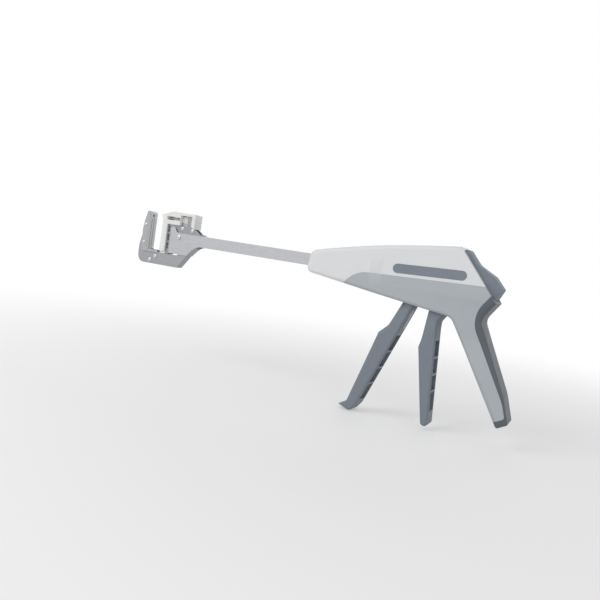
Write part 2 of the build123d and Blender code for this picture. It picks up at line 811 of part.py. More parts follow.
def closing_lever():
    """Right-hand plate of the closing lever: pivot, firing pivot, drive pin and the tang in the trigger."""
    y_from, y_to = plate_in, plate_in + lever_t
    pivot, carried, drive = (closing_x, closing_z), (firing_x, firing_z), (drive_x, drive_z)
    plate = strap(pivot, 4.8, drive, 3.2, y_from, y_to)
    plate += strap(pivot, 4.8, carried, 3.8, y_from, y_to)
    plate += strap(carried, 3.8, drive, 3.2, y_from, y_to)
    plate += strap(pivot, 4.8, (111.0, -38.0), 2.6, y_from, y_to)
    plate -= rod(*pivot, closing_pin_r + running_gap, y_from, y_to)
    plate -= rod(*carried, firing_pin_r, y_from, y_to)
    return plate - rod(*drive, drive_pin_r, y_from, y_to)


def closing_trigger():
    """Moulded closing trigger on its lever plates, hollow at the back with cross ribs."""
    corners = [
        (106.6, -18.0),
        (104.2, -46.0, 40.0),
        (102.7, -52.8),
        (114.2, -111.8, 2.9),
        (119.6, -111.4, 2.4),
        (114.4, -36.0, 30.0),
        (114.6, -31.0, 5.0),
        (119.0, -24.6),
        (116.2, -18.0),
    ]
    grip = round_sides(slab(corners, -trigger_half, trigger_half), 2.0)
    grip += strap((closing_x, closing_z), 5.6, (111.4, -22.0), 5.0, -trigger_half, trigger_half)
    hollow = [(108.0, -46.0, 1.0), (117.0, -100.0, 1.0), (140.0, -100.0), (140.0, -46.0)]
    hollow_half = trigger_half - 2.4
    pocket = slab(hollow, -hollow_half, hollow_half)
    for z in (-59.0, -72.0, -85.0):
        pocket -= block(100, 140, -hollow_half, hollow_half, z - 0.9, z + 0.9)
    grip -= pocket
    lever = closing_lever()
    tang = rod(closing_x, closing_z, closing_pin_r + running_gap, -20, 20)
    for shape in (lever, mirrored(lever), tang):
        grip -= shape
    return main_solid(grip)


def firing_lever():
    """Steel lever of the firing trigger, forked at the top round the firing bar."""
    pivot, push, foot = (firing_x, firing_z), (push_x, push_z), (84.5, -40.0)
    arm = strap(pivot, 4.0, push, lever_end_r, -firing_half, firing_half)
    arm += strap(pivot, 4.0, foot, 3.0, -firing_half, firing_half)
    arm -= block(80, 130, -fork_half, fork_half, firing_z - 6.0, 40)
    arm -= rod(*pivot, firing_pin_r + running_gap, -5, 5)
    return arm - rod(*push, push_pin_r, -5, 5)


def firing_trigger():
    """Moulded firing trigger on its lever, with a hooked end, hollow at the back with cross ribs."""
    corners = [
        (85.6, -19.8),
        (76.4, -41.0, 14.0),
        (69.5, -47.7),
        (52.0, -107.4, 4.0),
        (45.4, -111.4),
        (56.2, -115.0, 3.5),
        (61.2, -108.0, 5.0),
        (95.1, -19.8),
    ]
    grip = round_sides(slab(corners, -trigger_half, trigger_half), 2.0)
    for bevel in (neck_bevel(), mirrored(neck_bevel())):
        grip -= bevel
    neck_half = plate_in - sliding_gap - 0.2
    grip += strap((96.2, -6.5), 3.4, (89.6, -24.0), 4.0, -neck_half, neck_half)
    hollow = [(76.5, -48.0, 1.0), (59.5, -104.0, 1.0), (95.0, -104.0), (95.0, -48.0)]
    hollow_half = trigger_half - 2.4
    pocket = slab(hollow, -hollow_half, hollow_half)
    for z in (-62.0, -76.0, -90.0):
        pocket -= block(50, 100, -hollow_half, hollow_half, z - 0.9, z + 0.9)
    return main_solid(grip - pocket - firing_lever())


def neck_bevel():
    """Cut along one side of the firing trigger's neck, so that its front is bevelled for the finger."""
    ahead = outline([
        (60.0, -47.6),
        (72.9, -47.6, 5.0),
        (79.0, -42.6, 18.0),
        (92.0, -13.2),
        (60.0, -13.2),
    ])
    slant = math.degrees(math.atan2(neck_bevel_width, neck_bevel_depth))
    return extrude(Pos(0, trigger_half, 0) * ahead, amount=neck_bevel_depth, dir=(0, -1, 0), taper=slant)


def round_sides(solid, radius):
    """Round the long edges on both sides of a slab."""
    edges = [edge for edge in solid.edges() if abs((edge % 0.5).Y) < 0.5]
    return fillet(edges, radius)


def firing_spring():
    """Small torsion spring on the firing pivot."""
    turns, wire, radius = 2, 0.5, 2.1
    wound = coil(radius, wire, turns, 1.4)
    return Pos(firing_x, closure_in + 0.05, firing_z) * Rot(0, 0, 90) * wound


def write_levers():
    """Both triggers with their levers and pins."""
    lever = closing_lever()
    outer = plate_in + lever_t
    emit("right_closing_lever", lever)
    emit("left_closing_lever", mirrored(lever))
    emit("closing_trigger", closing_trigger())
    emit("drive_pin", rod(drive_x, drive_z, drive_pin_r, -outer, latch_in + latch_t))
    emit("firing_pivot_pin", rod(firing_x, firing_z, firing_pin_r, -outer, outer))
    emit("firing_lever", firing_lever())
    emit("firing_trigger", firing_trigger())
    emit("push_pin", rod(push_x, push_z, push_pin_r, -firing_half, firing_half))
    emit("firing_spring", firing_spring())
    emit("firing_bar", firing_bar())


# Release

def is_proud(edge):
    """Whether a side edge of the button stands clear of the rear slope."""
    middle = edge @ 0.5
    reach = math.dist((rear_top_x, rear_top_z), (rear_low_x, rear_low_z))
    rise_x, rise_z = (rear_top_z - rear_low_z) / reach, (rear_low_x - rear_top_x) / reach
    height = (middle.X - rear_top_x) * rise_x + (middle.Z - rear_top_z) * rise_z
    return abs((edge % 0.5).Y) < 0.5 and height > button_round


def release_button():
    """Wedge button on the rear slope, with the plug that goes into the shell and its pivot lug."""
    corners = [
        slope(button_start, button_plug),
        (*slope(2.86, -0.61), 0.4),
        (*slope(4.02, -2.63), 0.8),
        (*slope(16.80, -2.65), 12.0),
        (*slope(30.79, -8.17), 2.0),
        (*slope(42.05, -8.40), 1.0),
        slope(button_end, 0.0),
        slope(button_end, button_plug),
    ]
    button = slab(corners, -button_half, button_half)
    proud = [edge for edge in button.edges() if edge.length > 2 and is_proud(edge)]
    button = fillet(proud, button_round)
    pivot = slope(button_pivot_s, button_pivot_d)
    button += rod(*pivot, button_pin_r + 1.3, -button_half, button_half)
    return button - rod(*pivot, button_pin_r + running_gap, -20, 20)


def closing_latch():
    """Latch plate with its hook below the path of the drive pin and a tail behind the button."""
    y_from, y_to = latch_in, latch_in + latch_t
    pivot = (latch_x, latch_z)
    plate = strap(pivot, 3.4, (110.0, rail_low), 2.2, y_from, y_to)
    plate += strap(pivot, 3.4, (133.6, 6.0), 1.6, y_from, y_to)
    hook = [(106.4, -0.4), (106.4, 3.4), (108.6, 3.4), (110.4, 1.8), (110.4, -1.6)]
    plate += slab([(x, rail_low + rise) for x, rise in hook], y_from, y_to)
    return plate - rod(*pivot, latch_pin_r + running_gap, y_from, y_to)


def write_release():
    """Release button, its spring and the latch."""
    emit("release_button", release_button())
    emit("closing_latch", closing_latch())
    x, z = slope(31.0, button_plug)
    wound = coil(2.2, 0.6, 4, 9.5 - button_plug)
    heading = math.degrees(math.atan2(rear_low_z - rear_top_z, rear_low_x - rear_top_x))
    emit("button_spring", Pos(x, -4.5, z) * Rot(0, 90 - heading, 0) * wound)


write_handle()
write_jaw()
write_closure()
write_cartridge()
write_levers()
write_release()
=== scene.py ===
"""Linear surgical stapler: finishes, small details, light and camera round the model.

Every length that is written in millimetres is turned into metres with MM. The pieces are in the part's
frame: +X runs along the shaft from the jaw to the grip, +Y across and +Z up, with the origin in the middle
of the grip.
"""

import logging
import math
from dataclasses import dataclass, field
from enum import Enum
from typing import Iterable, Protocol

import bpy
from mathutils import Matrix, Vector


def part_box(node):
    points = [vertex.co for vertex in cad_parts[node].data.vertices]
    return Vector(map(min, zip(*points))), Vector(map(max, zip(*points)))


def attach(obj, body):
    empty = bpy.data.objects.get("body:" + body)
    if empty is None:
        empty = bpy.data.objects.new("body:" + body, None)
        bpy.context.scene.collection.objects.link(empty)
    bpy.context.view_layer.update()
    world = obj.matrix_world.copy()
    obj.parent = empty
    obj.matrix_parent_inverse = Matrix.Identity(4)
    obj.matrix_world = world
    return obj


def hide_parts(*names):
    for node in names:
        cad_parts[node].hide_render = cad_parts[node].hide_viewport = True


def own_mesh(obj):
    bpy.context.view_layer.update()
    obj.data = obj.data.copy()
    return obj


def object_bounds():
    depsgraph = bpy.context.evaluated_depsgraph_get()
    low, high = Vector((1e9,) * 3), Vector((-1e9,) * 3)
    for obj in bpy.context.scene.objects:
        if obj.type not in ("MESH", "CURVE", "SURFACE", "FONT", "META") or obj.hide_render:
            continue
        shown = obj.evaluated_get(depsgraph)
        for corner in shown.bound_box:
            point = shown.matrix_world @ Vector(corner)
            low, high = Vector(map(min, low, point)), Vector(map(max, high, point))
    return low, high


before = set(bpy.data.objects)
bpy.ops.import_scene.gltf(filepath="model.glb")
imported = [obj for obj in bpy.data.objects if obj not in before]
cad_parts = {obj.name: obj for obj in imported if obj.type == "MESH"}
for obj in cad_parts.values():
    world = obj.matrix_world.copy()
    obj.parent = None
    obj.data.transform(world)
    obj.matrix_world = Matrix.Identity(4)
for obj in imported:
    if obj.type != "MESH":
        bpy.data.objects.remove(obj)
CAD_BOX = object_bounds()

LOG = logging.getLogger("stapler")
MM = 0.001
SAME_POINT = 0.002 * MM     # points closer than this are one point
FLAT_DEG = 0.03             # faces that bend less than this are one flat face
EDGE_DEG = 40               # corners sharper than this get an edge break
EDGE_SEGMENTS = 2
PATTERN_LOW, PATTERN_HIGH = 0.3, 0.7    # most of a noise pattern lies between these
DOME_SEGMENTS, DOME_RINGS = 28, 12
STAPLE_SIDES, STAPLE_BEND_STEPS = 8, 4
COIL_SIDES, COIL_STEPS = 10, 32         # steps of each turn

Triple = tuple[float, float, float]
Colour = Triple
Span = tuple[float, float]


class BrushWay(Enum):
    """Direction that the lines of a brushed face run in, as a factor on the coordinates along each axis."""

    ALONG_SHAFT = (1.0, 60.0, 60.0)
    UPRIGHT = (60.0, 60.0, 1.0)


class Shader:
    """Node tree of one material, with short calls to add and join nodes."""

    def __init__(self, name: str) -> None:
        """Start an empty material with a Principled shader.

        Args:
            name: Name of the material.
        """
        self.material = bpy.data.materials.new(name)
        self.material.use_nodes = True
        self.tree = self.material.node_tree
        self.principled = self.tree.nodes["Principled BSDF"]
        self.place = self.tree.nodes.new("ShaderNodeTexCoord").outputs["Object"]

    def set(self, **values: object) -> None:
        """Set inputs of the Principled shader.

        Args:
            values: Value of each input; an underscore in a key stands for a space.
        """
        for key, value in values.items():
            self.principled.inputs[key.replace("_", " ")].default_value = value

    def noise(
        self, size: float, detail: float, stretch: Triple = (1.0, 1.0, 1.0)
    ) -> bpy.types.NodeSocket:
        """Add a noise pattern.

        Args:
            size: Size of its cells in metres.
            detail: Octaves of finer noise.
            stretch: Factor on the coordinates along each axis.

        Returns:
            The pattern's value.
        """
        mapping = self.tree.nodes.new("ShaderNodeMapping")
        mapping.inputs["Scale"].default_value = stretch
        self.tree.links.new(self.place, mapping.inputs["Vector"])
        noise = self.tree.nodes.new("ShaderNodeTexNoise")
        noise.inputs["Scale"].default_value = 1.0 / size
        noise.inputs["Detail"].default_value = detail
        self.tree.links.new(mapping.outputs["Vector"], noise.inputs["Vector"])
        return noise.outputs["Fac"]

    def shade(self, value: bpy.types.NodeSocket, dark: Colour, light: Colour) -> None:
        """Colour the surface between two colours.

        Args:
            value: Pattern between 0 and 1.
            dark: Colour at the low end of the pattern.
            light: Colour at its high end.
        """
        ramp = self.tree.nodes.new("ShaderNodeValToRGB")
        ends = ((PATTERN_LOW, dark), (PATTERN_HIGH, light))
        for stop, (position, colour) in zip(ramp.color_ramp.elements, ends):
            stop.position = position
            stop.color = (*colour, 1.0)
        self.tree.links.new(value, ramp.inputs["Fac"])
        self.tree.links.new(ramp.outputs["Color"], self.principled.inputs["Base Color"])

    def vary(self, key: str, value: bpy.types.NodeSocket, low: float, high: float) -> None:
        """Let one input of the shader follow a pattern.

        Args:
            key: Name of the input.
            value: Pattern between 0 and 1.
            low: Input where the pattern is low.
            high: Input where it is high.
        """
        span = self.tree.nodes.new("ShaderNodeMapRange")
        ends = {"From Min": PATTERN_LOW, "From Max": PATTERN_HIGH, "To Min": low, "To Max": high}
        for name, number in ends.items():
            span.inputs[name].default_value = number
        self.tree.links.new(value, span.inputs["Value"])
        self.tree.links.new(span.outputs["Result"], self.principled.inputs[key])

    def emboss(self, value: bpy.types.NodeSocket, depth: float, strength: float) -> None:
        """Raise and sink the surface slightly.

        Args:
            value: Pattern between 0 and 1.
            depth: Height of the pattern in metres.
            strength: Share of the effect.
        """
        bump = self.tree.nodes.new("ShaderNodeBump")
        bump.inputs["Strength"].default_value = strength
        bump.inputs["Distance"].default_value = depth
        self.tree.links.new(value, bump.inputs["Height"])
        self.tree.links.new(bump.outputs["Normal"], self.principled.inputs["Normal"])


def toned(colour: Colour, factor: float) -> Colour:
    """Return the colour made darker or lighter by a factor."""
    return tuple(min(1.0, channel * factor) for channel in colour)


class Finish(Protocol):
    """A finish that can make its material."""

    name: str

    def material(self) -> bpy.types.Material:
        """Return the finish as a material."""


@dataclass(frozen=True)
class Moulded:
    """Injection-moulded plastic with a fine spark-eroded grain and faint flow marks."""

    name: str
    colour: Colour
    roughness: float = 0.42
    grain_mm: float = 0.35
    grain_depth_mm: float = 0.06
    grain_share: float = 0.8
    cloud_mm: float = 26.0
    cloud: float = 0.025    # share that the colour changes by
    flow_mm: float = 9.0
    flow: float = 0.05      # how much the roughness changes
    flow_stretch: Triple = (0.45, 1.0, 1.0)
    flow_octaves: float = 4.0
    octaves: float = 3.0
    ior: float = 1.5
    sheen: float = 0.0

    def material(self) -> bpy.types.Material:
        """Make the plastic with its slight cloudiness and grain.

        Returns:
            The material.
        """
        shader = Shader(self.name)
        clouds = shader.noise(self.cloud_mm * MM, self.octaves)
        shader.shade(clouds, toned(self.colour, 1 - self.cloud), toned(self.colour, 1 + self.cloud))
        flow = shader.noise(self.flow_mm * MM, self.flow_octaves, self.flow_stretch)
        shader.vary("Roughness", flow, self.roughness - self.flow, self.roughness + self.flow)
        grain = shader.noise(self.grain_mm * MM, self.octaves)
        shader.emboss(grain, self.grain_depth_mm * MM, self.grain_share)
        shader.set(IOR=self.ior, Sheen_Weight=self.sheen)
        return shader.material


@dataclass(frozen=True)
class Brushed:
    """Stainless steel with fine brush lines in one direction."""

    name: str
    colour: Colour
    way: BrushWay
    roughness: float = 0.30
    line_mm: float = 7.0
    line_depth_mm: float = 0.004
    line_share: float = 0.35
    octaves: float = 4.0
    tones: Span = (0.90, 1.06)          # factors on the colour
    rougher: Span = (-0.07, 0.09)       # changes of the roughness

    def material(self) -> bpy.types.Material:
        """Make the steel with its brush lines.

        Returns:
            The material.
        """
        shader = Shader(self.name)
        lines = shader.noise(self.line_mm * MM, self.octaves, self.way.value)
        shader.shade(lines, *(toned(self.colour, tone) for tone in self.tones))
        shader.vary("Roughness", lines, *(self.roughness + change for change in self.rougher))
        shader.emboss(lines, self.line_depth_mm * MM, self.line_share)
        shader.set(Metallic=1.0)
        return shader.material


@dataclass(frozen=True)
class Turned:
    """Turned or drawn steel of pins, rivets, screws and wire."""

    name: str
    colour: Colour
    roughness: float = 0.26
    mark_mm: float = 0.5
    octaves: float = 3.0
    tones: Span = (0.96, 1.04)          # factors on the colour
    rougher: Span = (-0.03, 0.05)       # changes of the roughness

    def material(self) -> bpy.types.Material:
        """Make the steel with small tool marks.

        Returns:
            The material.
        """
        shader = Shader(self.name)
        marks = shader.noise(self.mark_mm * MM, self.octaves)
        shader.shade(marks, *(toned(self.colour, tone) for tone in self.tones))
        shader.vary("Roughness", marks, *(self.roughness + change for change in self.rougher))
        shader.set(Metallic=1.0)
        return shader.material


WHITE_SHELL = Moulded("white_shell", (0.76, 0.77, 0.78), roughness=0.50, cloud=0.012)
PALE_GREY_GRIP = Moulded("pale_grey_grip", (0.44, 0.47, 0.50), roughness=0.46)
GREY_STRAP = Moulded(
    "grey_strap", (0.10, 0.115, 0.135), roughness=0.62, grain_mm=0.7, grain_depth_mm=0.11, sheen=0.15
)
GREY_INLAY = Moulded("grey_inlay", (0.20, 0.23, 0.27), roughness=0.40)
GREY_TRIGGER = Moulded("grey_trigger", (0.20, 0.23, 0.27), roughness=0.56, grain_depth_mm=0.04)
GREY_BUTTON = Moulded(
    "grey_button", (0.20, 0.23, 0.27), roughness=0.68, grain_depth_mm=0.02, grain_share=0.4
)
WHITE_CARTRIDGE = Moulded(
    "white_cartridge", (0.82, 0.82, 0.80), roughness=0.33, grain_depth_mm=0.03, cloud=0.01
)
WHITE_DECK = Moulded("white_deck", (0.86, 0.86, 0.84), roughness=0.28, grain_depth_mm=0.02, cloud=0.01)
WHITE_SLIDE = Moulded("white_slide", (0.74, 0.74, 0.71), roughness=0.40)
SHAFT_STEEL = Brushed("shaft_steel", (0.50, 0.51, 0.53), BrushWay.ALONG_SHAFT)
JAW_STEEL = Brushed("jaw_steel", (0.36, 0.37, 0.39), BrushWay.ALONG_SHAFT, roughness=0.42)
ANVIL_STEEL = Brushed("anvil_steel", (0.42, 0.43, 0.44), BrushWay.UPRIGHT, roughness=0.36)
BAR_STEEL = Brushed("bar_steel", (0.32, 0.33, 0.35), BrushWay.ALONG_SHAFT, roughness=0.38)
PIN_STEEL = Turned("pin_steel", (0.55, 0.56, 0.58))
SPRING_STEEL = Turned("spring_steel", (0.42, 0.43, 0.45), roughness=0.32)
STAPLE_METAL = Turned("staple_metal", (0.60, 0.59, 0.56), roughness=0.22, mark_mm=0.2)


class Paint:
    """Keeps one material for each finish."""

    made: dict[str, bpy.types.Material] = {}

    @classmethod
    def of(cls, finish: Finish) -> bpy.types.Material:
        """Make a finish's material, once.

        Args:
            finish: The finish.

        Returns:
            Its material.
        """
        if finish.name not in cls.made:
            cls.made[finish.name] = finish.material()
        return cls.made[finish.name]


def dress_node(node: str, finish: Finish, edge_mm: float = 0.0, seam: bool = False) -> None:
    """Give a node of the frame its finish and, if asked, a fine edge break.

    Args:
        node: Name of the node.
        finish: Its finish.
        edge_mm: Width of the edge break, 0 for none.
        seam: Whether the break has its full width all along, as a moulding's parting edge has.
    """
    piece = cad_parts[node]
    if not piece.material_slots:
        piece.data.materials.append(None)
    for slot in piece.material_slots:
        slot.link = "OBJECT"
        slot.material = Paint.of(finish)
    if edge_mm:
        weld = piece.modifiers.new("weld", "WELD")
        weld.merge_threshold = SAME_POINT
        if seam:
            flat = piece.modifiers.new("flat", "DECIMATE")
            flat.decimate_type = "DISSOLVE"
            flat.angle_limit = math.radians(FLAT_DEG)
        bevel = piece.modifiers.new("edge", "BEVEL")
        bevel.width = edge_mm * MM
        bevel.segments = EDGE_SEGMENTS
        bevel.limit_method = "ANGLE"
        bevel.angle_limit = math.radians(EDGE_DEG)
        bevel.use_clamp_overlap = not seam
        bevel.harden_normals = True
    LOG.info("node %s in %s", node, finish.name)


def islands(node: str) -> list[tuple[Vector, Vector]]:
    """Find the separate solids of a node.

    Args:
        node: Name of the node.

    Returns:
        Lowest and highest corner of each solid.
    """
    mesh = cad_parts[node].data
    keys: dict[tuple[int, int, int], int] = {}
    parent: list[int] = []

    def root(index: int) -> int:
        """Find the first point that a point is joined to.

        Args:
            index: The point.

        Returns:
            The first point of its solid so far.
        """
        while parent[index] != index:
            parent[index] = parent[parent[index]]
            index = parent[index]
        return index

    points: list[int] = []
    for vertex in mesh.vertices:
        key = tuple(round(value / SAME_POINT) for value in vertex.co)
        if key not in keys:
            keys[key] = len(parent)
            parent.append(len(parent))
        points.append(keys[key])
    for edge in mesh.edges:
        first, second = (root(points[i]) for i in edge.vertices)
        parent[second] = first
    boxes: dict[int, tuple[Vector, Vector]] = {}
    for vertex, point in zip(mesh.vertices, points):
        low, high = boxes.setdefault(root(point), (vertex.co.copy(), vertex.co.copy()))
        for axis in range(3):
            low[axis] = min(low[axis], vertex.co[axis])
            high[axis] = max(high[axis], vertex.co[axis])
    return sorted(boxes.values(), key=lambda box: tuple(box[0]))


class Tree:
    """Geometry Nodes tree with named number inputs."""

    def __init__(self, name: str, inputs: dict[str, float]) -> None:
        """Start a tree that takes geometry and numbers.

        Args:
            name: Name of the tree.
            inputs: Name and value of each number.
        """
        self.tree = bpy.data.node_groups.new(name, "GeometryNodeTree")
        face = self.tree.interface
        face.new_socket("Geometry", in_out="INPUT", socket_type="NodeSocketGeometry")
        self.values = inputs
        self.keys: dict[str, str] = {}
        for key in inputs:
            socket = face.new_socket(key, in_out="INPUT", socket_type="NodeSocketFloat")
            self.keys[key] = socket.identifier
        face.new_socket("Geometry", in_out="OUTPUT", socket_type="NodeSocketGeometry")
        self.start = self.tree.nodes.new("NodeGroupInput")
        self.end = self.tree.nodes.new("NodeGroupOutput")

    def add(self, kind: str, **settings: object) -> bpy.types.Node:
        """Add a node.

        Args:
            kind: Type of the node.
            settings: Value of each of its options.

        Returns:
            The node.
        """
        node = self.tree.nodes.new(kind)
        for key, value in settings.items():
            setattr(node, key, value)
        return node

    def join(self, source: bpy.types.NodeSocket, target: bpy.types.NodeSocket) -> None:
        """Join two sockets."""
        self.tree.links.new(source, target)

    def tube(self, path: bpy.types.NodeSocket, sides: int) -> bpy.types.NodeSocket:
        """Sweep a round section of the tree's wire radius along a path.

        Args:
            path: Curve to follow.
            sides: Points round the section.

        Returns:
            The tube as a mesh with closed ends.
        """
        ring = self.add("GeometryNodeCurvePrimitiveCircle")
        ring.inputs["Resolution"].default_value = sides
        self.join(self.start.outputs["Wire Radius"], ring.inputs["Radius"])
        sweep = self.add("GeometryNodeCurveToMesh")
        sweep.inputs["Fill Caps"].default_value = True
        self.join(path, sweep.inputs["Curve"])
        self.join(ring.outputs["Curve"], sweep.inputs["Profile Curve"])
        return sweep.outputs["Mesh"]

    def close(self, geometry: bpy.types.NodeSocket, finish: Finish) -> None:
        """End the tree in real geometry with a material.

        Args:
            geometry: What the tree has made.
            finish: Finish of the result.
        """
        real = self.add("GeometryNodeRealizeInstances")
        smooth = self.add("GeometryNodeSetShadeSmooth")
        paint = self.add("GeometryNodeSetMaterial")
        paint.inputs["Material"].default_value = Paint.of(finish)
        self.join(geometry, real.inputs["Geometry"])
        self.join(real.outputs["Geometry"], smooth.inputs["Geometry"])
        self.join(smooth.outputs["Geometry"], paint.inputs["Geometry"])
        self.join(paint.outputs["Geometry"], self.end.inputs["Geometry"])

    def piece(
        self, name: str, points: Iterable[Vector], body: str, slot: str, edges: Iterable[tuple[int, int]] = ()
    ) -> bpy.types.Object:
        """Run the tree on points and keep the result as a plain mesh.

        Args:
            name: Name of the piece.
            points: Points that the tree starts from.
            body: Body that the piece rides on.
            slot: Name of a material slot; not used.
            edges: Pairs of points that are joined by a line.

        Returns:
            The finished piece.
        """
        seed = bpy.data.meshes.new(f"{name}_seed")
        seed.from_pydata([tuple(point) for point in points], list(edges), [])
        holder = bpy.data.objects.new(f"{name}_seed", seed)
        bpy.context.scene.collection.objects.link(holder)
        modifier = holder.modifiers.new("tree", "NODES")
        modifier.node_group = self.tree
        for key, value in self.values.items():
            modifier[self.keys[key]] = value
        evaluated = holder.evaluated_get(bpy.context.evaluated_depsgraph_get())
        mesh = bpy.data.meshes.new_from_object(evaluated)
        holder.modifiers.remove(modifier)
        bpy.data.objects.remove(holder)
        bpy.data.meshes.remove(seed)
        piece = bpy.data.objects.new(name, mesh)
        bpy.context.scene.collection.objects.link(piece)
        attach(piece, body)
        LOG.info("piece %s on %s, %d faces", name, body, len(mesh.polygons))
        return piece


def dome_tree(name: str, radius_mm: float, rise_mm: float, finish: Finish) -> Tree:
    """Build the tree that sets a domed head on each point, facing along Y.

    Args:
        name: Name of the tree.
        radius_mm: Radius of the head.
        rise_mm: Height of the dome over the point.
        finish: Finish of the heads.

    Returns:
        The tree.
    """
    tree = Tree(name, {"Radius": radius_mm * MM, "Rise": rise_mm * MM})
    ball = tree.add("GeometryNodeMeshUVSphere")
    ball.inputs["Segments"].default_value = DOME_SEGMENTS
    ball.inputs["Rings"].default_value = DOME_RINGS
    ball.inputs["Radius"].default_value = 1.0
    spread = tree.add("ShaderNodeCombineXYZ")
    tree.join(tree.start.outputs["Radius"], spread.inputs["X"])
    tree.join(tree.start.outputs["Rise"], spread.inputs["Y"])
    tree.join(tree.start.outputs["Radius"], spread.inputs["Z"])
    flat = tree.add("GeometryNodeTransform")
    tree.join(ball.outputs["Mesh"], flat.inputs["Geometry"])
    tree.join(spread.outputs["Vector"], flat.inputs["Scale"])
    heads = tree.add("GeometryNodeInstanceOnPoints")
    tree.join(tree.start.outputs["Geometry"], heads.inputs["Points"])
    tree.join(flat.outputs["Geometry"], heads.inputs["Instance"])
    tree.close(heads.outputs["Instances"], finish)
    return tree


def wire_tree(name: str, wire: float, bend: float, finish: Finish) -> Tree:
    """Build the tree that lays round wire along the lines of a mesh.

    Args:
        name: Name of the tree.
        wire: Diameter of the wire in metres.
        bend: Radius of its corners in metres.
        finish: Finish of the wire.

    Returns:
        The tree.
    """
    tree = Tree(name, {"Wire Radius": wire / 2, "Bend Radius": bend})
    path = tree.add("GeometryNodeMeshToCurve")
    tree.join(tree.start.outputs["Geometry"], path.inputs["Mesh"])
    corner = tree.add("GeometryNodeFilletCurve", mode="POLY")
    corner.inputs["Count"].default_value = STAPLE_BEND_STEPS
    tree.join(path.outputs["Curve"], corner.inputs["Curve"])
    tree.join(tree.start.outputs["Bend Radius"], corner.inputs["Radius"])
    tree.close(tree.tube(corner.outputs["Curve"], STAPLE_SIDES), finish)
    return tree


def coil_tree(name: str, radius: float, wire: float, turns: float, length: float, finish: Finish) -> Tree:
    """Build the tree that winds a coil spring up from each point.

    Args:
        name: Name of the tree.
        radius: Radius to the middle of the wire, in metres.
        wire: Diameter of the wire in metres.
        turns: Number of turns.
        length: Length of the relaxed spring in metres.
        finish: Finish of the wire.

    Returns:
        The tree.
    """
    sizes = {"Radius": radius, "Wire Radius": wire / 2, "Turns": turns, "Rise": length - wire}
    tree = Tree(name, sizes)
    helix = tree.add("GeometryNodeCurveSpiral")
    helix.inputs["Resolution"].default_value = COIL_STEPS
    sources = {"Rotations": "Turns", "Start Radius": "Radius", "End Radius": "Radius", "Height": "Rise"}
    for key, source in sources.items():
        tree.join(tree.start.outputs[source], helix.inputs[key])
    tree.close(tree.tube(helix.outputs["Curve"], COIL_SIDES), finish)
    return tree


def set_domes(node: str, name: str, rise_mm: float, body: str) -> None:
    """Set a domed head on both ends of each rivet or pin of a node.

    Args:
        node: Name of the node.
        name: Name of one dome; the piece that holds them all has an s after it.
        rise_mm: Height of the domes.
        body: Body that the rivets ride on.
    """
    solids = islands(node)
    points: list[Vector] = []
    for low, high in solids:
        middle = (low + high) / 2
        points += [Vector((middle.x, y, middle.z)) for y in (low.y, high.y)]
    low, high = solids[0]
    tree = dome_tree(name, (high.x - low.x) / 2 / MM, rise_mm, PIN_STEEL)
    tree.piece(f"{name}s", points, body, "pin_steel")


@dataclass
class Handle:
    """Shells, backstrap, inlays and screws of the handle."""

    seam_mm: float = 0.3
    inlay_edge_mm: float = 0.2
    finishes: dict[str, Finish] = field(
        default_factory=lambda: {
            "left_upper_shell": WHITE_SHELL,
            "right_upper_shell": WHITE_SHELL,
            "left_grip_shell": PALE_GREY_GRIP,
            "right_grip_shell": PALE_GREY_GRIP,
            "grip_backstrap": GREY_STRAP,
        }
    )
    fasteners: tuple[str, ...] = (
        "housing_screws",
        "nose_dowels",
        "closing_pivot_pin",
        "button_pivot_pin",
        "latch_pivot_pin",
    )

    def dress(self) -> None:
        """Finish the mouldings, with a fine seam along the upper shells."""
        for node, finish in self.finishes.items():
            dress_node(node, finish, self.seam_mm, seam=finish is WHITE_SHELL)
        for side in ("left", "right"):
            dress_node(f"{side}_side_inlay", GREY_INLAY, self.inlay_edge_mm)
        for node in self.fasteners:
            dress_node(node, PIN_STEEL)


@dataclass
class ShaftAndJaw:
    """Shaft plates, jaw frame, anvil and their rivets."""

    body: str = "frame"
    rivets: tuple[str, ...] = ("anvil_rivets", "jaw_rivets", "guide_pin")
    edge_mm: float = 0.15
    dome_mm: float = 0.35

    def dress(self) -> None:
        """Finish the steel of the shaft and the jaw."""
        for side in ("left", "right"):
            dress_node(f"{side}_shaft_plate", SHAFT_STEEL, self.edge_mm)
        dress_node("jaw_frame", JAW_STEEL, self.edge_mm)
        dress_node("anvil", ANVIL_STEEL, self.edge_mm)
        for node in self.rivets:
            dress_node(node, PIN_STEEL)

    def rivet_domes(self) -> None:
        """Set domes on the rivets and the guide pin."""
        for node in self.rivets:
            set_domes(node, f"{node}_dome", self.dome_mm, self.body)


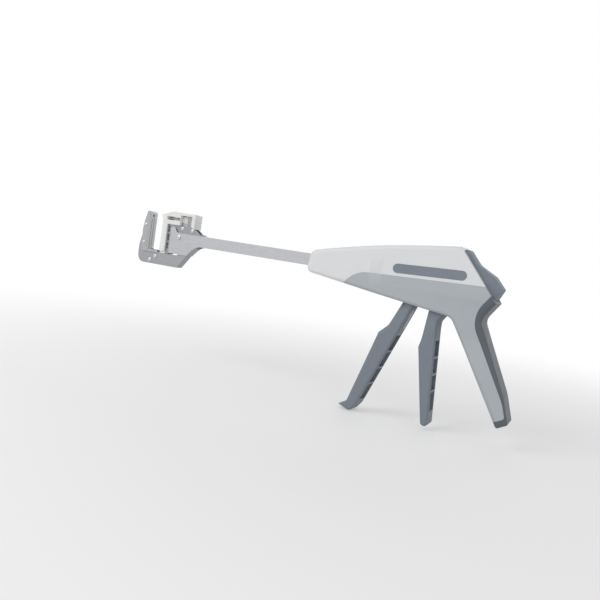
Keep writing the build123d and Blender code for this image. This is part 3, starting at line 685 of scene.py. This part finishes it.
@dataclass
class Cartridge:
    """Cartridge, its holder, the staples and the retaining pin."""

    body: str = "closure"
    edge_mm: float = 0.2
    dome_mm: float = 0.25
    formed: float = 0.3     # share of a staple's height that is left when it is formed

    def staples(self) -> None:
        """Bend an open staple for each slot; they stay open, as before they are formed against the anvil."""
        points: list[Vector] = []
        edges: list[tuple[int, int]] = []
        boxes = islands("staples")
        wire = boxes[0][1].y - boxes[0][0].y
        inset = wire / 2
        for low, high in boxes:
            first, middle = len(points), (low.y + high.y) / 2
            crown, tip = high.x - inset, low.x
            bottom, top = low.z + inset, high.z - inset
            for x, z in ((tip, bottom), (crown, bottom), (crown, top), (tip, top)):
                points.append(Vector((x, middle, z)))
            edges += [(first + i, first + i + 1) for i in range(3)]
        tree = wire_tree("staple_wire", wire, wire, STAPLE_METAL)
        staples = tree.piece("staple_line", points, "firing_slide", "staple_metal", edges)
        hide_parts("staples")
        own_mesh(staples)

    def dress(self) -> None:
        """Finish the white mouldings and the metal in them."""
        dress_node("cartridge_body", WHITE_CARTRIDGE, self.edge_mm)
        dress_node("pin_guard", WHITE_CARTRIDGE, self.edge_mm)
        dress_node("cartridge_deck", WHITE_DECK)
        dress_node("pin_block", WHITE_SLIDE)
        dress_node("staple_driver", WHITE_CARTRIDGE)
        dress_node("retaining_pin", PIN_STEEL)
        for side in ("left", "right"):
            dress_node(f"{side}_closure_plate", BAR_STEEL)
        dress_node("holder_rivets", PIN_STEEL)
        dress_node("spring_collar", WHITE_SLIDE)

    def rivet_domes(self) -> None:
        """Set domes on the holder rivets."""
        set_domes("holder_rivets", "holder_rivet_dome", self.dome_mm, self.body)


@dataclass
class Levers:
    """Triggers, levers, firing bar and their pins."""

    plates: tuple[str, ...] = ("left_closing_lever", "right_closing_lever", "firing_lever", "firing_bar")
    pins: tuple[str, ...] = ("drive_pin", "firing_pivot_pin", "push_pin")

    def dress(self) -> None:
        """Finish the triggers and what they drive."""
        for node in ("closing_trigger", "firing_trigger"):
            dress_node(node, GREY_TRIGGER)
        for node in self.plates:
            dress_node(node, BAR_STEEL)
        for node in self.pins:
            dress_node(node, PIN_STEEL)
        dress_node("firing_spring", SPRING_STEEL)


@dataclass
class ClosingSpring:
    """Coil spring that opens the jaw again, squeezed by the closing trigger."""

    body: str = "frame"
    wire_mm: float = 1.1
    turns: float = 8.0
    squeezed: float = 0.57      # share of its length that is left when the jaw is closed

    def wind(self) -> None:
        """Wind the spring from the nose to its collar."""
        low, high = (Vector(corner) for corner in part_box("closing_spring"))
        wire = self.wire_mm * MM
        radius = (high.z - low.z - wire) / 2
        tree = coil_tree("closing_coil", radius, wire, self.turns, high.x - low.x, SPRING_STEEL)
        coil = tree.piece("closing_coil", [Vector()], self.body, "spring_steel")
        seat = Vector((low.x, (low.y + high.y) / 2, (low.z + high.z) / 2))
        lay = Matrix.Translation(seat) @ Matrix.Rotation(math.radians(90), 4, "Y")
        coil.data.transform(lay @ Matrix.Translation((0, 0, wire / 2)))
        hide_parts("closing_spring")
        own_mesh(coil)


@dataclass
class Release:
    """Release button, its latch and its spring."""

    body: str = "frame"
    wire_mm: float = 0.6
    turns: float = 4.0
    length_mm: float = 7.0
    slope_deg: float = 50.15    # lean of the spring from upright
    squeezed: float = 0.64      # share of its length that is left when the button is down

    def dress(self) -> None:
        """Finish the button and the latch."""
        dress_node("release_button", GREY_BUTTON)
        dress_node("closing_latch", BAR_STEEL)

    def spring(self) -> None:
        """Wind the button spring from its seat in the shell up to the button."""
        low, high = (Vector(corner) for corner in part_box("button_spring"))
        wire = self.wire_mm * MM
        length = self.length_mm * MM
        radius = (high.y - low.y - wire) / 2
        tree = coil_tree("button_coil", radius, wire, self.turns, length, SPRING_STEEL)
        coil = tree.piece("button_coil", [Vector()], self.body, "spring_steel")
        lift = math.radians(self.slope_deg)
        way = Vector((math.sin(lift), 0, math.cos(lift)))
        seat = (low + high) / 2 - way * length / 2
        lay = Matrix.Translation(seat) @ Matrix.Rotation(lift, 4, "Y")
        coil.data.transform(lay @ Matrix.Translation((0, 0, wire / 2)))
        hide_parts("button_spring")
        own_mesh(coil)


@dataclass(frozen=True)
class Lamp:
    """Square soft light that faces the middle of the object."""

    name: str
    place: Triple
    watts: float
    size: float = 0.8

    def hang(self) -> None:
        """Hang the light in its place."""
        light = bpy.data.lights.new(self.name, "AREA")
        light.size = self.size
        light.energy = self.watts
        lamp = bpy.data.objects.new(self.name, light)
        middle = (Vector(CAD_BOX[0]) + Vector(CAD_BOX[1])) / 2
        lamp.location = self.place
        lamp.rotation_euler = (middle - Vector(self.place)).to_track_quat("-Z", "Y").to_euler()
        bpy.context.scene.collection.objects.link(lamp)


@dataclass
class Studio:
    """Floor, backdrop, lights and camera."""

    lamps: tuple[Lamp, ...] = (
        Lamp("key", (-0.75, -0.90, 0.80), 6.5),
        Lamp("fill", (0.75, -0.70, 0.35), 2.0),
        Lamp("back", (-0.15, 1.05, 0.45), 2.4),
    )
    floor_drop_mm: float = 0.6
    floor_size: float = 12.0
    floor_colour: Colour = (0.86, 0.86, 0.86)
    floor_roughness: float = 0.7
    floor_gloss: float = 0.1
    floor_near: float = 0.15    # distance at which the fade to white starts
    floor_far: float = 0.8      # distance at which it ends
    floor_lift: float = 0.35    # share of white under the object
    ambient: float = 0.45
    eye: Triple = (0.07675, -0.4793, 0.05462)
    yaw: float = 25.80
    pitch: float = -4.29
    roll: float = 8.80
    lens_mm: float = 37.8
    sensor_mm: float = 36.0
    nearest: float = 0.01

    def floor(self) -> None:
        """Lay a floor just under the lowest point."""
        height = CAD_BOX[0][2] - self.floor_drop_mm * MM
        half = self.floor_size / 2
        mesh = bpy.data.meshes.new("floor")
        corners = [(-half, -half, height), (half, -half, height), (half, half, height), (-half, half, height)]
        mesh.from_pydata(corners, [], [(0, 1, 2, 3)])
        floor = bpy.data.objects.new("floor", mesh)
        bpy.context.scene.collection.objects.link(floor)
        mesh.materials.append(self.floor_paint())

    def floor_paint(self) -> bpy.types.Material:
        """Make the floor's pale finish, which fades to white far off.

        Returns:
            The material.
        """
        shader = Shader("floor")
        shader.set(
            Base_Color=(*self.floor_colour, 1.0),
            Roughness=self.floor_roughness,
            Specular_IOR_Level=self.floor_gloss,
        )
        tree = shader.tree
        length = tree.nodes.new("ShaderNodeVectorMath")
        length.operation = "LENGTH"
        tree.links.new(shader.place, length.inputs[0])
        fade = tree.nodes.new("ShaderNodeMapRange")
        fade.interpolation_type = "SMOOTHSTEP"
        fade.inputs["From Min"].default_value = self.floor_near
        fade.inputs["From Max"].default_value = self.floor_far
        fade.inputs["To Min"].default_value = self.floor_lift
        tree.links.new(length.outputs["Value"], fade.inputs["Value"])
        seen = self.seen_directly(tree)
        both = tree.nodes.new("ShaderNodeMath")
        both.operation = "MULTIPLY"
        tree.links.new(fade.outputs["Result"], both.inputs[0])
        tree.links.new(seen, both.inputs[1])
        white = tree.nodes.new("ShaderNodeEmission")
        mix = tree.nodes.new("ShaderNodeMixShader")
        tree.links.new(both.outputs["Value"], mix.inputs["Fac"])
        tree.links.new(shader.principled.outputs["BSDF"], mix.inputs[1])
        tree.links.new(white.outputs["Emission"], mix.inputs[2])
        tree.links.new(mix.outputs["Shader"], tree.nodes["Material Output"].inputs["Surface"])
        return shader.material

    @staticmethod
    def seen_directly(tree: bpy.types.NodeTree) -> bpy.types.NodeSocket:
        """Tell rays that show the background from those that light the object.

        Args:
            tree: Tree to add the nodes to.

        Returns:
            1 for camera, glossy and transmission rays, otherwise 0.
        """
        path = tree.nodes.new("ShaderNodeLightPath")
        total = path.outputs["Is Camera Ray"]
        for name in ("Is Glossy Ray", "Is Transmission Ray"):
            either = tree.nodes.new("ShaderNodeMath")
            either.operation = "MAXIMUM"
            tree.links.new(total, either.inputs[0])
            tree.links.new(path.outputs[name], either.inputs[1])
            total = either.outputs["Value"]
        return total

    def backdrop(self) -> None:
        """Make the background white and give the object a soft ambient light."""
        world = bpy.data.worlds.new("backdrop")
        bpy.context.scene.world = world
        world.use_nodes = True
        tree = world.node_tree
        ambient = tree.nodes["Background"]
        ambient.inputs["Color"].default_value = (1.0, 1.0, 1.0, 1.0)
        ambient.inputs["Strength"].default_value = self.ambient
        white = tree.nodes.new("ShaderNodeBackground")
        white.inputs["Color"].default_value = (1.0, 1.0, 1.0, 1.0)
        mix = tree.nodes.new("ShaderNodeMixShader")
        tree.links.new(self.seen_directly(tree), mix.inputs["Fac"])
        tree.links.new(ambient.outputs["Background"], mix.inputs[1])
        tree.links.new(white.outputs["Background"], mix.inputs[2])
        tree.links.new(mix.outputs["Shader"], tree.nodes["World Output"].inputs["Surface"])

    def lights(self) -> None:
        """Hang a key from the upper left, a fill from the right and a light from behind."""
        for lamp in self.lamps:
            lamp.hang()

    def camera(self) -> None:
        """Set up the camera of the main view."""
        data = bpy.data.cameras.new("camera")
        data.sensor_width = self.sensor_mm
        data.lens = self.lens_mm
        data.clip_start = self.nearest
        eye = bpy.data.objects.new("camera", data)
        turn = Matrix.Rotation(math.radians(self.yaw), 4, "Z")
        turn @= Matrix.Rotation(math.radians(90 + self.pitch), 4, "X")
        turn @= Matrix.Rotation(math.radians(self.roll), 4, "Z")
        eye.matrix_world = Matrix.Translation(self.eye) @ turn
        bpy.context.scene.collection.objects.link(eye)
        bpy.context.scene.camera = eye


def main() -> None:
    """Dress the stapler, then set the studio round it."""
    logging.basicConfig(level=logging.INFO, format="%(name)s: %(message)s")
    Handle().dress()
    jaw = ShaftAndJaw()
    jaw.dress()
    jaw.rivet_domes()
    cartridge = Cartridge()
    cartridge.dress()
    cartridge.rivet_domes()
    cartridge.staples()
    Levers().dress()
    release = Release()
    release.dress()
    ClosingSpring().wind()
    release.spring()
    studio = Studio()
    studio.floor()
    studio.backdrop()
    studio.lights()
    studio.camera()
    bpy.context.scene.view_settings.view_transform = "Standard"


if __name__ == "__main__":
    main()
